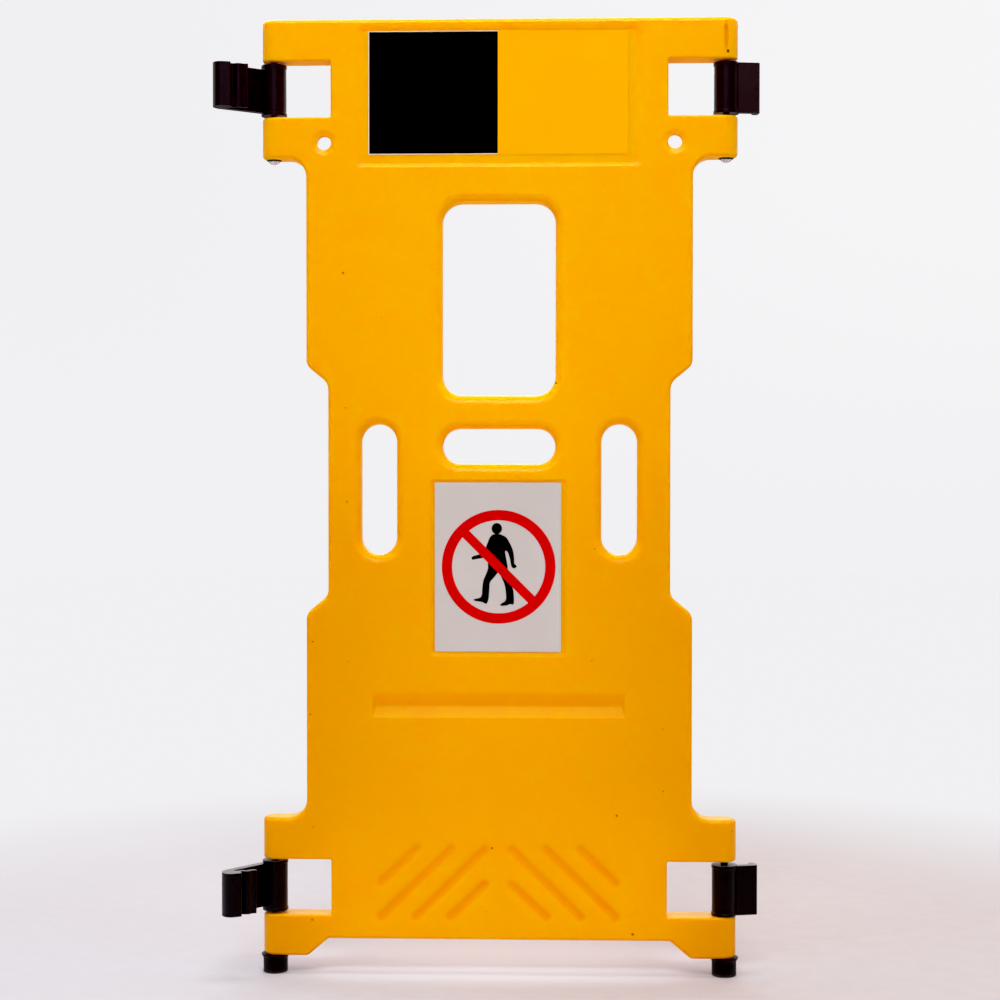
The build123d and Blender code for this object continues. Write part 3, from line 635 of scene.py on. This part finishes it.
def paper():
    """Pale studio paper that fades into the lit backdrop away from the object."""
    t = Tree("floor_paper")
    fine = t.noise(40.0, 4.0, 0.6)
    xyz = t.split()
    away = t.math(
        "SQRT",
        t.math("ADD", t.math("MULTIPLY", xyz[0], xyz[0]), t.math("MULTIPLY", xyz[1], xyz[1])),
    )
    fade = t.span(away, 0.60, 1.30)
    cool = t.mix(t.span(fine, 0.3, 0.7), (0.455, 0.426, 0.458, 1), (0.470, 0.440, 0.472, 1))
    warm = t.mix(t.span(fine, 0.3, 0.7), (0.420, 0.358, 0.358, 1), (0.435, 0.372, 0.372, 1))
    base = t.mix(t.span(xyz[0], -0.15, 0.35), cool, warm)
    # a painted pool of light on the paper under and just behind the panel, where its shadow falls
    u = t.math("DIVIDE", xyz[0], 0.25)
    v = t.math("DIVIDE", t.math("SUBTRACT", xyz[1], 0.06), 0.10)
    painted_light_pool = t.math("SQRT", t.math("ADD", t.math("MULTIPLY", u, u), t.math("MULTIPLY", v, v)))
    base = t.mix(t.span(painted_light_pool, 1.4, 0.2), base, (0.650, 0.612, 0.672, 1))
    base = t.mix(fade, base, (0.0005, 0.0005, 0.0005, 1))
    t.shader(Base_Color=base, Roughness=t.span(fine, 0.2, 0.8, 0.75, 0.85))
    t.bsdf.inputs["Specular IOR Level"].default_value = 0.0
    t.bsdf.inputs["Emission Color"].default_value = PALE
    t.put(t.bsdf.inputs["Emission Strength"], fade)
    return t.mat


def backdrop_paint():
    t = Tree("backdrop_paint")
    xyz = t.split()
    tone = t.mix(t.span(xyz[0], -2.6, 2.6), (0.975, 0.968, 1.000, 1), (1.060, 1.050, 1.070, 1))
    tone = t.mix(t.span(xyz[2], 0.0, 2.2), PALE, tone)
    t.shader(Emission_Color=tone)
    t.bsdf.inputs["Base Color"].default_value = (0.02, 0.02, 0.02, 1)
    t.bsdf.inputs["Roughness"].default_value = 1.0
    t.bsdf.inputs["Specular IOR Level"].default_value = 0.0
    t.bsdf.inputs["Emission Strength"].default_value = 1.0
    return t.mat


floor_paint, wall_paint = paper(), backdrop_paint()
floor = ring_mesh("floor_disc", [0.3, 0.6, 0.9, 1.4], [0.0] * 4, 0, 360, 96, cap=True)
floor.data.materials.append(floor_paint)
far = ring_mesh("floor_far", [1.4, 2.4, 4.5, 8.0], [0.0] * 4, 0, 360, 96)
far.data.materials.append(floor_paint)
arc = [math.radians(a) for a in range(0, 91, 6)]
back = ring_mesh("backdrop_back", [7.9 * math.cos(a) for a in arc], [7.9 * math.sin(a) for a in arc], 0, 180, 48)
front = ring_mesh("backdrop_front", [7.9 * math.cos(a) for a in arc], [7.9 * math.sin(a) for a in arc], 180, 360, 48)
for part in (back, front):
    part.data.materials.append(wall_paint)
# only the lit back wall shows in reflections, as in a studio that is dark behind the camera
for part in (far, back, front):
    part.visible_shadow = False
for part in (far, front):
    part.visible_glossy = False
    part.visible_diffuse = False


def soft_box(name, place, target, size, power, colour=(1, 1, 1), mirrored=True):
    data = bpy.data.lights.new(name, "AREA")
    data.shape = "RECTANGLE"
    data.size, data.size_y = size
    data.energy = power
    data.color = colour
    ob = link(bpy.data.objects.new(name, data))
    ob.location = place
    ob.rotation_euler = (Vector(target) - Vector(place)).to_track_quat("-Z", "Y").to_euler()
    ob.visible_camera = False
    ob.visible_glossy = mirrored
    return ob


soft_box("key_top", (0.0, -2.4, 3.0), (0, 0, 0.7), (1.8, 1.1), 102)
soft_box("overhead", (0.0, -0.3, 3.2), (0, 0, 0.5), (1.6, 0.9), 60, mirrored=False)
soft_box("back_fill", (0.0, 2.6, 2.0), (0, 0.1, 0.1), (2.2, 1.0), 44)
soft_box("low_front", (0.0, -2.2, 0.30), (0, 0, 0.65), (2.4, 0.4), 6.5, mirrored=False)
soft_box("floor_glow", (0.0, -0.85, 0.012), (0, -0.85, 1.0), (2.6, 1.5), 3.5, mirrored=False)
soft_box("floor_glow_back", (0.0, 0.85, 0.012), (0, 0.85, 1.0), (2.6, 1.5), 10.5, mirrored=False)
soft_box("side_left", (-2.5, -1.5, 1.3), (0, 0, 0.55), (1.0, 1.8), 9, mirrored=False)
soft_box("side_right", (2.5, -1.5, 1.3), (0, 0, 0.55), (1.0, 1.8), 9, mirrored=False)

world = bpy.data.worlds.new("studio")
world.use_nodes = True
world.node_tree.nodes["Background"].inputs[0].default_value = (1.0, 0.995, 0.99, 1)
world.node_tree.nodes["Background"].inputs[1].default_value = 0.04
scene.world = world

# a camera-like response: a soft shoulder for the lights and a small black level
view = scene.view_settings
view.view_transform = "Standard"
view.look = "None"
view.use_curve_mapping = True
tone = view.curve_mapping
tone.black_level = (0.010, 0.010, 0.010)
tone.white_level = (1.310, 1.310, 1.310)
line = tone.curves[3]
line.points[0].location = (0.0, 0.0)
line.points[1].location = (1.0, 1.0)
for x, y in ((0.50, 0.65), (0.60, 0.748), (0.70, 0.833), (0.77, 0.888), (0.85, 0.946), (0.92, 0.981)):
    line.points.new(x, y)
line.points[0].handle_type = "VECTOR"
line.points[1].handle_type = "VECTOR"
tone.update()

# ---------------------------------------------------------------- camera
yaw, pitch, roll = math.radians(1.925), math.radians(1.069), math.radians(0.029)
ahead = Vector((-math.sin(yaw) * math.cos(pitch), math.cos(yaw) * math.cos(pitch), -math.sin(pitch)))
right = Vector((math.cos(yaw), math.sin(yaw), 0))
above = right.cross(ahead)
right, above = (
    right * math.cos(roll) + above * math.sin(roll),
    above * math.cos(roll) - right * math.sin(roll),
)
data = bpy.data.cameras.new("camera")
data.sensor_width = 36.0
data.lens = 1894.1 * 36.0 / 1000.0
data.clip_end = 50.0
camera = link(bpy.data.objects.new("camera", data))
turn = Matrix((right, above, -ahead)).transposed().to_4x4()
camera.matrix_world = Matrix.Translation((0.0681, -2.0, 0.5394)) @ turn
scene.camera = camera
